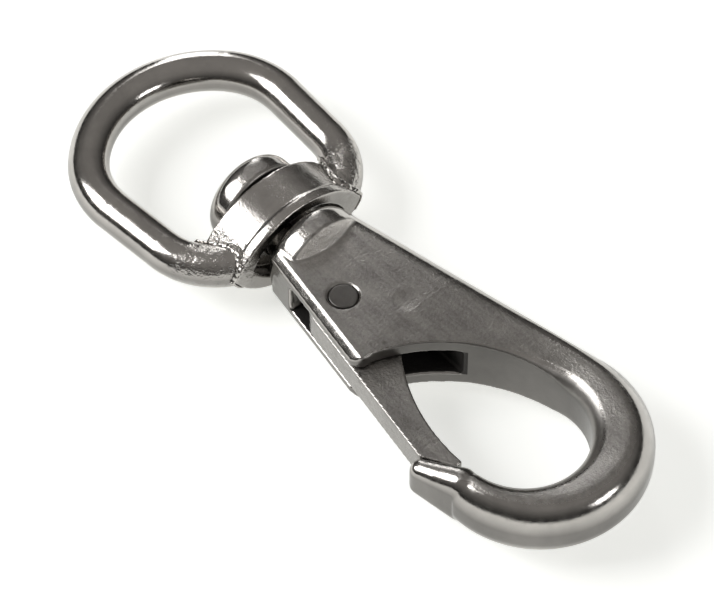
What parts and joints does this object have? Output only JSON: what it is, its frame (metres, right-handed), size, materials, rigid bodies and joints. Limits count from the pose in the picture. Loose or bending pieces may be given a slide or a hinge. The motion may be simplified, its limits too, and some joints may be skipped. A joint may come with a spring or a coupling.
{
  "type": "swivel snap hook",
  "caption": "Cast snap hook with a spring-loaded gate and a welded rod eye that turns on the hook's headed shank.",
  "frame": {"origin": "on the swivel axis, at the centre of the eye's opening where it is widest", "axes": "+X along the swivel axis from the eye to the hook, +Y towards the hook's spine (the gate is on -Y), +Z square to the flat of the hook"},
  "size_m": [0.0856, 0.0316, 0.0122],
  "materials": {
    "rod_steel": "tumbled and polished stainless steel, with fine marks near the welds",
    "collar_steel": "satin stainless steel with a bright rim",
    "weld_steel": "lumpy weld metal, bright in places",
    "hook_steel": "satin cast stainless steel on the flats, polished on the head, the shoulder and the bow",
    "gate_steel": "satin stainless steel, slightly darker than the body",
    "pin_steel": "satin stainless steel, ground flush",
    "spring_steel": "drawn spring wire"
  },
  "bodies": {
    "hook": {"hook_body": "hook_steel", "pivot_pin": "pin_steel"},
    "eye": {"eye_rod": "rod_steel", "eye_collar": "collar_steel", "weld_gate_side": "weld_steel", "weld_spine_side": "weld_steel"},
    "gate": {"gate": "gate_steel", "gate_spring": "spring_steel"}
  },
  "joints": [
    {"name": "eye_swivel", "type": "hinge", "parent": "hook", "child": "eye", "pos_m": [0.0153, 0, 0], "axis": [1, 0, 0], "continuous": true},
    {"name": "gate_hinge", "type": "hinge", "parent": "hook", "child": "gate", "pos_m": [0.03025, -0.00365, 0], "axis": [0, 0, 1], "range_deg": [0, 26], "stiffness_Nm_per_rad": 0.04, "springref_deg": -17.19, "deforming": ["gate_spring"]}
  ]
}
